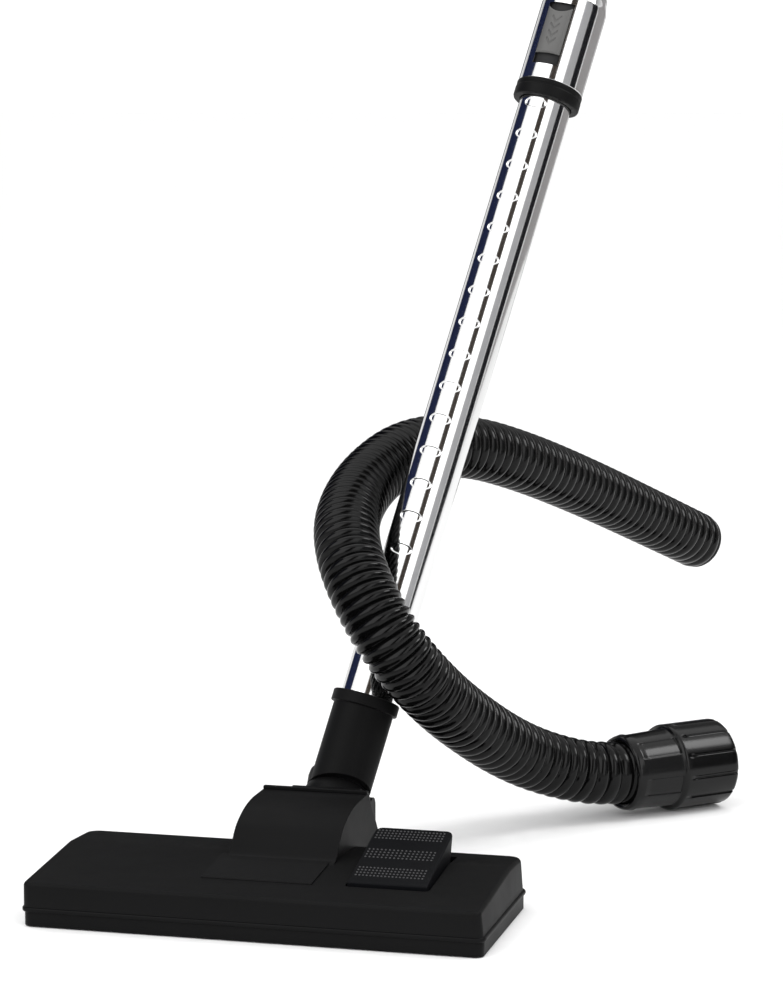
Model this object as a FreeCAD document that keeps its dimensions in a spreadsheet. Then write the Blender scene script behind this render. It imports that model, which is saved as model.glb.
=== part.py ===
"""Floor head, telescopic wand and suction hose of a vacuum cleaner, in millimetres, +Z up.

The origin lies on the floor under the middle of the floor head. +X is the head's right-hand side, the
front of the head looks along -Y, and the wand leans back towards +Y. The driving dimensions are in the
sheet; each sub-part is bound to it and is written to parts/NODE.step.
"""
import FreeCAD, Part
import math
import os
import Sketcher

Vector = FreeCAD.Vector
os.makedirs("parts", exist_ok=True)
doc = FreeCAD.newDocument("cleaning_set")

# ---------------------------------------------------------------- driving dimensions
DIMENSIONS = {
    # floor head
    "head_width": 260, "head_depth": 110, "front_height": 24.5, "crest_height": 30.5, "crest_back": 20,
    "rear_height": 28.7, "shell_bottom": 11, "lip_bottom": 8, "lip_reach": 1.2, "shell_wall": 2.2,
    "sole_thick": 1.5, "sole_inset": 12, "skirt_bottom": 0.3, "corner_radius": 5, "floor_thick": 2, "play": 0.3,
    "mouth_half": 96, "mouth_front": -31, "mouth_rear": -9,
    "slot_half": 113, "front_slot": -42.5, "rear_slot": 17.5, "slot_width": 6, "brush_width": 3,
    "duct_half": 24, "duct_bottom": 8.3, "duct_top": 22.2,
    "hump_half": 31, "hump_top": 53, "hump_rear": 79,
    # pedal
    "pedal_left": 47, "pedal_right": 92, "pedal_front": -25.5, "pedal_rear": 38, "pedal_low": 29,
    "pedal_high": 44.7, "pedal_plate": 3, "pedal_axis_y": 6, "pedal_axis_z": 20.5, "pedal_pin_radius": 1.5,
    # tail, ball and rear wheels
    "ball_y": 120, "ball_z": 35.5, "ball_radius": 20.5, "ball_wall": 2.5, "seam_offset": 9.5,
    "cradle_half": 23.4, "bay_half": 21.0, "trunnion_radius": 3, "swivel_lean": 40,
    "wheel_radius": 10, "wheel_y": 124, "wheel_width": 6.5, "axle_radius": 2,
    # wand
    "lean_back": 21.45, "lean_side": 11.7, "notch_heading": -12,
    "neck_radius": 18.2, "collar_radius": 20.2, "collar_start": 59.5, "neck_end": 66.5, "socket_start": 38,
    "tube_radius": 16, "tube_wall": 0.6, "inner_end": 560, "notch_first": 443, "notch_pitch": 20.53,
    "notch_count": 15, "notch_hidden": 2, "notch_radius": 3.6, "notch_depth": 1.7,
    "outer_radius": 17.4, "outer_wall": 0.6, "outer_start": 462, "outer_end": 900,
    "sleeve_radius": 20.2, "sleeve_start": 458, "sleeve_end": 512, "sleeve_taper": 10,
    "ring_start": 447.5, "ring_radius": 20.7, "button_start": 474, "button_end": 505, "button_half": 7.8,
    "button_travel": 6, "button_top": 21.0, "slide_fit": 0.05,
    # hose
    "hose_radius": 19.75, "hose_bore": 17.6, "cuff_radius": 25, "cuff_rim_radius": 27.2, "cuff_step": 32,
    "cuff_length": 72, "cuff_bore": 22, "cuff_overlap": 16, "bush_length": 24, "bush_bore": 15.5,
    # fastenings
    "screw_x": 122.8, "screw_front": -44, "screw_rear": 46, "screw_radius": 1.4, "screw_head": 2.6,
}
sheet = doc.addObject("Spreadsheet::Sheet", "sheet")
sheet.Label = "driving dimensions"
for number, (alias, value) in enumerate(DIMENSIONS.items(), start=1):
    sheet.set(f"A{number}", alias)
    sheet.set(f"B{number}", str(value))
    sheet.setAlias(f"B{number}", alias)
doc.recompute()


class Size:
    """A length or angle together with the sheet expression that gives it."""

    def __init__(self, value, text):
        self.value = value
        self.text = text

    def _joined(self, other, sign, value):
        return Size(value, f"({self.text} {sign} {as_size(other).text})")

    def __add__(self, other):
        return self._joined(other, "+", self.value + float(other))

    def __radd__(self, other):
        return as_size(other) + self

    def __sub__(self, other):
        return self._joined(other, "-", self.value - float(other))

    def __rsub__(self, other):
        return as_size(other) - self

    def __mul__(self, other):
        return self._joined(other, "*", self.value * float(other))

    def __rmul__(self, other):
        return as_size(other) * self

    def __truediv__(self, other):
        return self._joined(other, "/", self.value / float(other))

    def __neg__(self):
        return 0 - self

    def __float__(self):
        return float(self.value)


def as_size(number):
    return number if isinstance(number, Size) else Size(float(number), f"({float(number):.4f})")


class Sheet:
    """Reads each alias of the sheet as a Size."""

    def __getattr__(self, alias):
        return Size(float(sheet.get(alias)), f"sheet.{alias}")


dim = Sheet()


# ---------------------------------------------------------------- helpers
def bind(thing, prop, size):
    thing.setExpression(prop, as_size(size).text)


def put(thing, x, y, z):
    for axis, size in zip("xyz", (x, y, z)):
        bind(thing, f"Placement.Base.{axis}", size)


def box(x0, x1, y0, y1, z0, z1):
    thing = doc.addObject("Part::Box", "box")
    for prop, low, high in (("Length", x0, x1), ("Width", y0, y1), ("Height", z0, z1)):
        bind(thing, prop, as_size(high) - low)
    put(thing, x0, y0, z0)
    return thing


def wide_box(half, y0, y1, z0, z1):
    return box(-half, half, y0, y1, z0, z1)


def rounded_box(half, y0, y1, z0, z1, radius):
    """A flat block with its four upright edges rounded."""
    parts = [wide_box(half, as_size(y0) + radius, as_size(y1) - radius, z0, z1),
             wide_box(as_size(half) - radius, y0, y1, z0, z1)]
    for x in (as_size(radius) - half, as_size(half) - radius):
        for y in (as_size(y0) + radius, as_size(y1) - radius):
            parts.append(rod(radius, as_size(z1) - z0, (x, y, z0)))
    return union(*parts)


def rod(radius, length, base=(0, 0, 0), direction=Vector(0, 0, 1)):
    thing = doc.addObject("Part::Cylinder", "rod")
    bind(thing, "Radius", radius)
    bind(thing, "Height", length)
    thing.Placement.Rotation = FreeCAD.Rotation(Vector(0, 0, 1), direction)
    put(thing, *base)
    return thing


def ball(radius, base):
    thing = doc.addObject("Part::Sphere", "ball")
    bind(thing, "Radius", radius)
    put(thing, *base)
    return thing


def union(*pieces):
    thing = doc.addObject("Part::MultiFuse", "union")
    thing.Shapes = list(pieces)
    return thing


def cut(base, *tools):
    thing = doc.addObject("Part::Cut", "cut")
    thing.Base = base
    thing.Tool = tools[0] if len(tools) == 1 else union(*tools)
    return thing


def group(*pieces):
    """Pieces kept side by side, so that the group can be given a place of its own."""
    thing = doc.addObject("Part::Compound", "group")
    thing.Links = list(pieces)
    return thing


def common(first, second):
    thing = doc.addObject("Part::Common", "common")
    thing.Base = first
    thing.Tool = second
    return thing


def drawn(body, role, outline):
    """A closed polygon on one of the body's origin planes, each corner held by the sheet."""
    sketch = body.newObject("Sketcher::SketchObject", "outline")
    plane = [f for f in body.Origin.OriginFeatures if f.Role == role][0]
    sketch.AttachmentSupport = [(plane, "")]
    sketch.MapMode = "FlatFace"
    corners = [Vector(float(a), float(b), 0) for a, b in outline]
    count = len(corners)
    for i in range(count):
        sketch.addGeometry(Part.LineSegment(corners[i], corners[(i + 1) % count]), False)
    for i in range(count):
        sketch.addConstraint(Sketcher.Constraint("Coincident", i, 2, (i + 1) % count, 1))
    for i, corner in enumerate(outline):
        for kind, size in zip(("DistanceX", "DistanceY"), corner):
            row = sketch.addConstraint(Sketcher.Constraint(kind, -1, 1, i, 1, float(size)))
            sketch.setExpression(f"Constraints[{row}]", as_size(size).text)
    return sketch


def prism(outline, width, centre=0):
    """A side outline, (y, z) corners, padded to both sides of the plane x = centre."""
    body = doc.addObject("PartDesign::Body", "prism")
    pad = body.newObject("PartDesign::Pad", "pad")
    pad.Profile = drawn(body, "YZ_Plane", outline)
    pad.Midplane = True
    bind(pad, "Length", width)
    bind(body, "Placement.Base.x", centre)
    return body


def turned(outline):
    """A (radius, height) outline turned about the local Z axis."""
    body = doc.addObject("PartDesign::Body", "turned")
    turn = body.newObject("PartDesign::Revolution", "turn")
    sketch = drawn(body, "XZ_Plane", outline)
    turn.Profile = sketch
    turn.ReferenceAxis = (sketch, ["V_Axis"])
    turn.Angle = 360
    return body


def ring(inner, outer, low, high):
    return turned([(inner, low), (outer, low), (outer, high), (inner, high)])


def disc(radius, low, high):
    return ring(0, radius, low, high)


def along(frame, thing):
    thing.Placement = frame
    return thing


nodes = {}


def node(label, thing, frame=None):
    thing.Label = label
    if frame is not None:
        thing.Placement = frame
    nodes[label] = thing
    return thing


def solid_node(label, make_shape, frame=None):
    """A piece whose shape is made with Part's own functions."""
    thing = doc.addObject("Part::Feature", label)
    thing.Shape = make_shape
    return node(label, thing, frame)


# ---------------------------------------------------------------- frames
def tilted(lean_back, lean_side):
    back, side = math.radians(lean_back), math.radians(lean_side)
    return Vector(math.sin(side), math.sin(back) * math.cos(side), math.cos(back) * math.cos(side))


ball_centre = Vector(0, float(dim.ball_y), float(dim.ball_z))
wand_axis = tilted(float(dim.lean_back), float(dim.lean_side))
swivel_axis = tilted(float(dim.swivel_lean), 0)
heading = math.radians(float(dim.notch_heading))
facing = Vector(math.sin(heading), -math.cos(heading), 0)
facing = (facing - wand_axis * facing.dot(wand_axis)).normalize()
# Local Z runs up the wand from the ball's centre, and local X points at the button and the notches.
wand_frame = FreeCAD.Placement(
    ball_centre, FreeCAD.Rotation(facing, wand_axis.cross(facing), wand_axis, "ZXY"))
swivel_frame = FreeCAD.Placement(ball_centre, FreeCAD.Rotation(Vector(0, 0, 1), swivel_axis))


# ---------------------------------------------------------------- floor head
half_width = dim.head_width / 2
half_depth = dim.head_depth / 2
deck_slope = (dim.crest_height - dim.front_height) / (dim.crest_back + half_depth)


def deck_outline(inset):
    """Side outline of the deck, moved inwards by the inset and open downwards past the rim."""
    rim = dim.shell_bottom - inset
    return [(inset - half_depth, rim), (inset - half_depth, dim.front_height - inset),
            (dim.crest_back, dim.crest_height - inset), (half_depth - inset, dim.rear_height - inset),
            (half_depth - inset, rim)]


def hump_outline(inset):
    """Side outline of the hump over the ball: a rounded front, a level roof and cheeks cut back."""
    top = dim.hump_top - inset
    rear = dim.hump_rear + inset * 3
    return [(6 + inset, 28 - inset * 3), (12 + inset, 31.5 - inset), (18 + inset, 39 - inset),
            (25 + inset, 45.2 - inset), (35 + inset / 2, 49.8 - inset), (47, top - 0.9), (60, top),
            (rear, top), (rear + 24, 23.5), (rear + 31, 14), (rear + 31, dim.shell_bottom - inset),
            (52 - inset, dim.shell_bottom - inset), (52 - inset, 26), (6 + inset, 26 - inset * 3)]


def screw_rods(radius, low, high):
    """One upright rod at each case screw."""
    return [rod(radius, as_size(high) - low, (x, y, low)) for x in (-dim.screw_x, dim.screw_x)
            for y in (dim.screw_front, dim.screw_rear)]


def make_upper_shell():
    reach = half_width - dim.lip_reach
    deck = common(prism(deck_outline(0), 2 * reach),
                  rounded_box(reach, -half_depth, half_depth, dim.shell_bottom, 40, dim.corner_radius))
    hump = prism(hump_outline(0), 2 * dim.hump_half)
    pad = prism([(-28, 27.7), (14, 31.1), (14, 27.5), (-28, 25.6)], dim.hump_half * 2, -3)
    hollow = prism(deck_outline(dim.shell_wall), dim.head_width - 2 * dim.lip_reach - 2 * dim.shell_wall)
    cavity = prism(hump_outline(dim.shell_wall), 2 * (dim.hump_half - dim.shell_wall))
    well = box(dim.pedal_left - 1, dim.pedal_right + 1, dim.pedal_front - 1.5, dim.pedal_rear + 3, 14, 50)
    shell = cut(union(deck, hump, pad), hollow, cavity, well)
    ears = []
    for edge in (dim.pedal_left - 1, dim.pedal_right + 3):
        ears.append(box(edge - 2, edge, dim.pedal_axis_y - 5, dim.pedal_axis_y + 5, 17, 27.2))
    posts = [common(union(*screw_rods(3.3, 12.5, 29)), prism(deck_outline(1), dim.head_width - 4))]
    holes = screw_rods(dim.screw_radius + 0.05, 11, 19.5)
    pin_hole = rod(dim.pedal_pin_radius, 60, (40, dim.pedal_axis_y, dim.pedal_axis_z), Vector(1, 0, 0))
    node("upper_shell", cut(union(shell, *ears, *posts), pin_hole, *holes))

    band = prism([(77.8, dim.hump_top), (77.8, dim.hump_top + 2), (80.6, dim.hump_top + 2), (105, 24.6),
                  (112, 14.6), (112, dim.shell_bottom), (110, dim.shell_bottom), (110, 14), (103, 23.5),
                  (dim.hump_rear, dim.hump_top)], 2 * dim.hump_half)
    gap = wide_box(dim.hump_half - dim.shell_wall, 70, 120, 5, dim.hump_top)
    node("hump_rim", cut(band, gap))


def make_lower_parts():
    lip = rounded_box(half_width, -half_depth - dim.lip_reach / 2, half_depth, dim.lip_bottom,
                      dim.shell_bottom, dim.corner_radius + 1)
    lip_hollow = wide_box(half_width - 3.8, 4 - half_depth, half_depth - 4, dim.lip_bottom,
                          dim.shell_bottom)
    tail_gap = wide_box(dim.duct_half + 0.5, half_depth - 8, half_depth + 2, 0, dim.shell_bottom)
    node("bumper_strip", cut(lip, lip_hollow, tail_gap))

    reach = half_width - dim.lip_reach
    tray = rounded_box(reach, 1 - half_depth, half_depth - 1, dim.skirt_bottom, dim.lip_bottom,
                       dim.corner_radius)
    pocket = wide_box(half_width - dim.sole_inset + dim.play, 4 - half_depth - dim.play,
                      half_depth - 4 + dim.play, 0, dim.sole_thick)
    room = wide_box(reach - dim.shell_wall, dim.shell_wall + 1 - half_depth,
                    half_depth - 1 - dim.shell_wall, dim.sole_thick + dim.floor_thick, dim.lip_bottom)
    ledge = wide_box(dim.duct_half + 1, half_depth - 6, half_depth + 1, 6, dim.lip_bottom)
    floor = cut(tray, pocket, room, ledge, *openings_below())
    bosses = screw_rods(3.3, dim.sole_thick, 12.3)
    screw_holes = screw_rods(1.8, 1, 13) + screw_rods(dim.screw_head + 0.2, 1, 3.3)
    node("lower_housing", cut(union(floor, *bosses), *screw_holes))

    plate = wide_box(half_width - dim.sole_inset, 4 - half_depth, half_depth - 4, 0, dim.sole_thick)
    velvet = [box(s * 18, s * 90, -37.5, -33.5, -1, 2) for s in (1,)]
    velvet.append(box(-90, -18, -37.5, -33.5, -1, 2))
    node("sole_plate", cut(plate, *openings_below(), *velvet))
    strips = [box(18.2, 89.8, -37.3, -33.7, 0.2, dim.sole_thick),
              box(-89.8, -18.2, -37.3, -33.7, 0.2, dim.sole_thick)]
    node("lint_pickers", union(*strips))

    heads = screw_rods(dim.screw_head, 1.7, 3.3)
    shanks = screw_rods(dim.screw_radius, 3.3, 18.5)
    node("case_screws", group(*[union(head, shank) for head, shank in zip(heads, shanks)]))


def openings_below():
    """The suction mouth and the brush slots, as tools that run through the sole and the floor."""
    half_slot = dim.slot_width / 2
    tools = [wide_box(dim.mouth_half, dim.mouth_front, dim.mouth_rear, -1, 6)]
    tools.append(wide_box(dim.slot_half, dim.front_slot - half_slot, dim.front_slot + half_slot, -1, 6))
    for low, high in ((-dim.slot_half, -28), (28, dim.slot_half)):
        tools.append(box(low, high, dim.rear_slot - half_slot, dim.rear_slot + half_slot, -1, 6))
    return tools


def make_air_path():
    floor = dim.sole_thick + dim.floor_thick
    front, rear = dim.mouth_front, dim.mouth_rear
    case = union(wide_box(dim.duct_half, front - 2, half_depth, dim.duct_bottom, dim.duct_top),
                 wide_box(dim.duct_half, front - 2, rear + 2, floor, dim.duct_bottom),
                 wide_box(dim.mouth_half + 2, front - 2, rear + 2, floor, floor + 3.1))
    node("air_duct", cut(case,
                         wide_box(dim.duct_half - 2, front, half_depth, dim.duct_bottom + 2, dim.duct_top - 2),
                         wide_box(dim.duct_half - 2, front, rear, floor, dim.duct_bottom + 2),
                         wide_box(dim.mouth_half, front, rear, floor, floor + 1.9)))
    seal = wide_box(dim.duct_half - 1, half_depth, half_depth + 2, dim.duct_bottom, dim.duct_top)
    seal_hole = wide_box(dim.duct_half - 4, half_depth, half_depth + 2, dim.duct_bottom + 2.5,
                         dim.duct_top - 2.5)
    node("duct_gasket", cut(seal, seal_hole))


def make_pedal():
    width = dim.pedal_right - dim.pedal_left
    middle = (dim.pedal_right + dim.pedal_left) / 2
    top = [(dim.pedal_front, dim.pedal_low), (dim.pedal_rear, dim.pedal_high)]
    skirt = [(dim.pedal_rear - 7.5, 24), (dim.pedal_axis_y + 5, 17.5), (dim.pedal_axis_y - 5, 17.5),
             (dim.pedal_front + 0.5, 25.5)]
    outside = prism(top + skirt, width, middle)
    drop = dim.pedal_plate
    inside = prism([(dim.pedal_front + 4, dim.pedal_low - drop + 1.0),
                    (dim.pedal_rear - 3.5, dim.pedal_high - drop - 0.9),
                    (dim.pedal_rear - 10, 23), (dim.pedal_axis_y + 5, 10), (dim.pedal_axis_y - 5, 10),
                    (dim.pedal_front + 4, 23)], width - 5, middle)
    bore = rod(dim.pedal_pin_radius + 0.05, 60, (40, dim.pedal_axis_y, dim.pedal_axis_z), Vector(1, 0, 0))
    heel = box(middle - 3, middle + 3, dim.pedal_axis_y + 17, dim.pedal_axis_y + 23, 14.7, 38.5)
    node("pedal_plate", cut(union(cut(outside, inside), heel), bore))
    pin = rod(dim.pedal_pin_radius, width + 6, (dim.pedal_left - 3, dim.pedal_axis_y, dim.pedal_axis_z),
              Vector(1, 0, 0))
    node("pedal_pin", pin)
    leaf = union(box(52, 58, -6, 6, 3.5, 4.3), box(52, 58, 5.2, 6, 4.3, 13), box(52, 58, -4, 6, 13, 13.8))
    node("pedal_leaf_spring", leaf)


def make_brush():
    half_bar = 3.5
    low, high = 9, 14
    front, rear = dim.front_slot, dim.rear_slot
    bars = [wide_box(dim.slot_half, front - half_bar, front + half_bar, low, high)]
    for x0, x1 in ((-dim.slot_half, -28), (28, dim.slot_half)):
        bars.append(box(x0, x1, rear - half_bar, rear + half_bar, low, high))
    for x0 in (-dim.slot_half, dim.slot_half - 8):
        bars.append(box(x0, x0 + 8, front, rear, high - 2, high))
    middle = (dim.pedal_right + dim.pedal_left) / 2
    bars.append(box(middle - 5, middle + 5, front, dim.pedal_axis_y + 24, high - 2, high))
    node("brush_carriage", union(*bars))
    half_brush = dim.brush_width / 2
    reach = dim.slot_half - 2
    node("front_brush", wide_box(reach, front - half_brush, front + half_brush, 0.8, low))
    rear_strips = [box(28 + 2, reach, rear - half_brush, rear + half_brush, 0.8, low),
                   box(-reach, -30, rear - half_brush, rear + half_brush, 0.8, low)]
    node("rear_brushes", union(*rear_strips))


# ---------------------------------------------------------------- tail, ball and rear wheels
def make_tail():
    half = dim.cradle_half
    block = wide_box(half, half_depth + 2, dim.ball_y + 12, 3, 36)
    trunnion_lugs = rod(6, 2 * half, (-half, dim.ball_y, dim.ball_z), Vector(1, 0, 0))
    tunnel = wide_box(dim.bay_half, half_depth - 1, dim.ball_y - 22, 6.5, 32.5)
    bay = wide_box(dim.bay_half, dim.ball_y - 22.5, dim.ball_y + 40, 14.2, 60)
    rear_gap = box(-60, 60, dim.ball_y + 6, dim.ball_y + 40, 18, 60)
    axle_hole = rod(dim.axle_radius + 0.05, 100, (-50, dim.wheel_y, dim.wheel_radius), Vector(1, 0, 0))
    pin_hole = rod(dim.trunnion_radius, 100, (-50, dim.ball_y, dim.ball_z), Vector(1, 0, 0))
    tongue = wide_box(half, half_depth - 9, half_depth + 4, dim.duct_top, dim.duct_top + 3)
    blank = union(block, trunnion_lugs, tongue)
    node("rear_cradle", cut(blank, tunnel, bay, rear_gap, axle_hole, pin_hole))

    seal = wide_box(dim.bay_half - 0.3, dim.ball_y - 22, dim.ball_y - 15.5, 14.6, 50)
    port = rod(11.5, 20, (0, dim.ball_y - 30, dim.ball_z - 4), Vector(0, 1, 0))
    node("ball_seal", cut(seal, ball(dim.ball_radius + 0.4, (0, dim.ball_y, dim.ball_z)), port))

    pins = []
    for start in (dim.bay_half - 3.2, -dim.cradle_half):
        pins.append(rod(dim.trunnion_radius, dim.cradle_half - dim.bay_half + 3.2,
                        (start, dim.ball_y, dim.ball_z), Vector(1, 0, 0)))
    node("trunnion_pins", group(*pins))

    reach = dim.cradle_half + 0.6 + dim.wheel_width + 1.2
    node("wheel_axle", rod(dim.axle_radius, 2 * reach, (-reach, dim.wheel_y, dim.wheel_radius),
                           Vector(1, 0, 0)))
    for label, start in (("wheel_left", -dim.cradle_half - 0.6 - dim.wheel_width),
                         ("wheel_right", dim.cradle_half + 0.6)):
        wheel = rod(dim.wheel_radius, dim.wheel_width, (start, dim.wheel_y, dim.wheel_radius), Vector(1, 0, 0))
        hole = rod(dim.axle_radius + 0.06, dim.wheel_width + 2, (start - 1, dim.wheel_y, dim.wheel_radius),
                   Vector(1, 0, 0))
        node(label, cut(wheel, hole))


def make_ball():
    centre = (0, dim.ball_y, dim.ball_z)
    shell = cut(ball(dim.ball_radius, centre), ball(dim.ball_radius - dim.ball_wall, centre))
    lugs = rod(5.5, 2 * (dim.ball_radius - 0.6), (0.6 - dim.ball_radius, dim.ball_y, dim.ball_z),
               Vector(1, 0, 0))
    lug_gap = rod(6.5, 2 * (dim.ball_radius - 5), (5 - dim.ball_radius, dim.ball_y, dim.ball_z),
                  Vector(1, 0, 0))
    pin_holes = rod(dim.trunnion_radius + 0.05, 60, (-30, dim.ball_y, dim.ball_z), Vector(1, 0, 0))
    mouth = rod(12.5, 30, (0, dim.ball_y - 30, dim.ball_z - 4), Vector(0, 1, 0))
    top = along(swivel_frame, disc(60, dim.seam_offset, 60))
    throat = along(swivel_frame, disc(13, 0, 60))
    spigot = along(swivel_frame, ring(13, 15.4, 4, dim.seam_offset + 7))
    globe = cut(union(shell, cut(lugs, lug_gap)), top, throat)
    node("tilt_ball", cut(union(globe, spigot), pin_holes, mouth))
    node("swivel_ring", ring(13.6, 15.1, dim.seam_offset + 7, dim.seam_offset + 8.6), swivel_frame)


# ---------------------------------------------------------------- neck and wand
def make_neck():
    skirt = along(swivel_frame, ring(15.45, dim.neck_radius, dim.seam_offset + 0.35, dim.seam_offset + 9.5))
    pipe = turned([(14.4, 6), (dim.neck_radius, 6), (dim.neck_radius, dim.collar_start),
                   (dim.collar_radius, dim.collar_start), (dim.collar_radius, dim.neck_end),
                   (dim.tube_radius + dim.slide_fit, dim.neck_end),
                   (dim.tube_radius + dim.slide_fit, dim.socket_start), (14.4, dim.socket_start)])
    below = along(swivel_frame, disc(60, dim.seam_offset - 60, dim.seam_offset + 0.35))
    socket = along(swivel_frame, disc(15.45, dim.seam_offset, dim.seam_offset + 9.2))
    node("swivel_neck", cut(union(skirt, along(wand_frame, pipe)), below, socket))


def notch_heights():
    first, pitch = float(dim.notch_first), float(dim.notch_pitch)
    lowest = -int(float(dim.notch_hidden))
    return [first - pitch * i for i in range(lowest, int(float(dim.notch_count)))]


def make_inner_tube():
    """A thin tube whose notches are pressed in: each is a dent outside and a bulge inside."""
    outer, wall = float(dim.tube_radius), float(dim.tube_wall)
    low, high = float(dim.socket_start), float(dim.inner_end)
    dent = float(dim.notch_radius)
    tube = Part.makeCylinder(outer, high - low, Vector(0, 0, low))
    tube = tube.cut(Part.makeCylinder(outer - wall, high - low, Vector(0, 0, low)))
    core = Part.makeCylinder(outer - wall + 0.3, high - low, Vector(0, 0, low))
    centre = outer - float(dim.notch_depth) + dent
    bulges, dents = [], []
    for height in notch_heights():
        base = Vector(centre, -20, height)
        bulges.append(Part.makeCylinder(dent + wall, 40, base, Vector(0, 1, 0)).common(core))
        dents.append(Part.makeCylinder(dent, 40, base, Vector(0, 1, 0)))
    tube = tube.fuse(bulges).cut(dents)
    solid_node("inner_tube", tube.removeSplitter(), wand_frame)
    node("guide_bush", ring(dim.tube_radius, dim.outer_radius - dim.outer_wall - dim.slide_fit,
                            dim.inner_end - 24, dim.inner_end - 2), wand_frame)


def make_outer_tube():
    bore = dim.outer_radius - dim.outer_wall
    latch_height = dim.notch_first + 2 * dim.notch_pitch
    tube = ring(bore, dim.outer_radius, dim.outer_start, dim.outer_end)
    window = box(10, 25, -5.5, 5.5, latch_height - 3.5, latch_height + 3.5)
    node("outer_tube", cut(tube, window), wand_frame)
    bush = turned([(15, dim.outer_end - 28), (bore, dim.outer_end - 28), (bore, dim.outer_end),
                   (dim.outer_radius + 0.6, dim.outer_end), (dim.outer_radius + 0.6, dim.outer_end + 2),
                   (15, dim.outer_end + 2)])
    node("tube_end_bush", bush, wand_frame)

    liner_radius = dim.outer_radius + 0.95
    liner = ring(dim.outer_radius, liner_radius, dim.sleeve_start + 4.2, dim.sleeve_end)
    liner_window = box(10, 25, -5.5, 5.5, latch_height - 3.5, latch_height + 3.5)
    node("sleeve_liner", cut(liner, liner_window), wand_frame)

    inside = liner_radius + 0.05
    top = dim.sleeve_end + dim.sleeve_taper
    sleeve = turned([(inside, dim.sleeve_start), (dim.sleeve_radius, dim.sleeve_start),
                     (dim.sleeve_radius, dim.sleeve_end), (dim.outer_radius + 0.9, top),
                     (dim.outer_radius + 0.05, top), (dim.outer_radius + 0.05, top - 3),
                     (inside, dim.sleeve_end)])
    opening = box(10, 30, -dim.button_half - 0.5, dim.button_half + 0.5,
                  dim.button_start - dim.button_travel - 1, dim.button_end + 2.5)
    node("lock_sleeve", cut(sleeve, opening), wand_frame)
    collar = turned([(dim.tube_radius + dim.slide_fit + 0.02, dim.ring_start),
                     (dim.ring_radius - 0.8, dim.ring_start), (dim.ring_radius, dim.ring_start + 1.2),
                     (dim.ring_radius, dim.sleeve_start), (dim.sleeve_radius - 1.9, dim.sleeve_start),
                     (dim.sleeve_radius - 1.9, dim.outer_start),
                     (dim.tube_radius + dim.slide_fit + 0.02, dim.outer_start)])
    node("sleeve_end_ring", collar, wand_frame)


def make_button():
    latch = dim.notch_first + 2 * dim.notch_pitch
    under = dim.outer_radius + 1.3
    plate = ring(under, dim.button_top, dim.button_start, dim.button_end)
    slab = box(10, 30, -dim.button_half, dim.button_half, dim.button_start, dim.button_end)
    scoop = rod(9, 20, (dim.button_top + 6.4, -10, dim.button_end + 1.5), Vector(0, 1, 0))
    pocket = box(10, dim.button_top - 0.8, -5, 5, latch - 3.2, latch + 3.2 + dim.button_travel)
    groove = box(10, under + 0.9, -3.5, 3.5, latch + 4, dim.button_end + 2)
    node("slider_button", cut(common(plate, slab), scoop, pocket, groove), wand_frame)
    tip = box(dim.tube_radius + 0.35, under, -4, 4, latch - 2.2, latch + 2.2)
    node("latch_bar", group(tip), wand_frame)
    liner_radius = dim.outer_radius + 0.95
    leaf = common(ring(liner_radius, liner_radius + 0.6, latch + 5.5, latch + 14),
                  box(10, 25, -3, 3, latch + 5.5, latch + 14))
    node("latch_spring", leaf, wand_frame)


# ---------------------------------------------------------------- hose
HOSE_ROUTE = [
    (145, 560, 136), (117, 502, 161), (89, 428, 189), (62, 355, 214), (37, 300, 230), (10, 259, 232),
    (-6, 217, 217), (-8, 175, 199), (3, 140, 182), (18, 121, 160), (37, 113, 133), (56, 130, 104),
    (70, 175, 76), (86, 222, 51), (106, 253, 36), (131.5, 275.7, 27.2), (152.7, 296.9, 27.2)]
CUFF_HEADING = Vector(1, 1, 0).normalize()


def rounded_path(route):
    """Straight runs joined by tangent arcs, each as large as its two runs allow."""
    points = [Vector(*p) for p in route]
    edges, radii = [], []
    start = points[0]
    for before, corner, after in zip(points, points[1:], points[2:]):
        back = (before - corner).normalize()
        ahead = (after - corner).normalize()
        half_turn = (math.pi - back.getAngle(ahead)) / 2
        reach = 0.45 * min(before.distanceToPoint(corner), after.distanceToPoint(corner))
        radius = reach / math.tan(half_turn)
        radii.append(radius)
        first, last = corner + back * reach, corner + ahead * reach
        bisector = (back + ahead).normalize()
        middle = corner + bisector * (radius / math.cos(half_turn) - radius)
        edges.append(Part.LineSegment(start, first).toShape())
        edges.append(Part.Arc(first, middle, last).toShape())
        start = last
    edges.append(Part.LineSegment(start, points[-1]).toShape())
    return Part.Wire(edges), radii


def swept(path, radius):
    start = path.Edges[0]
    first = start.valueAt(start.FirstParameter)
    circle = Part.Circle(first, start.tangentAt(start.FirstParameter), radius)
    return path.makePipeShell([Part.Wire([circle.toShape()])], True, False)


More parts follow.
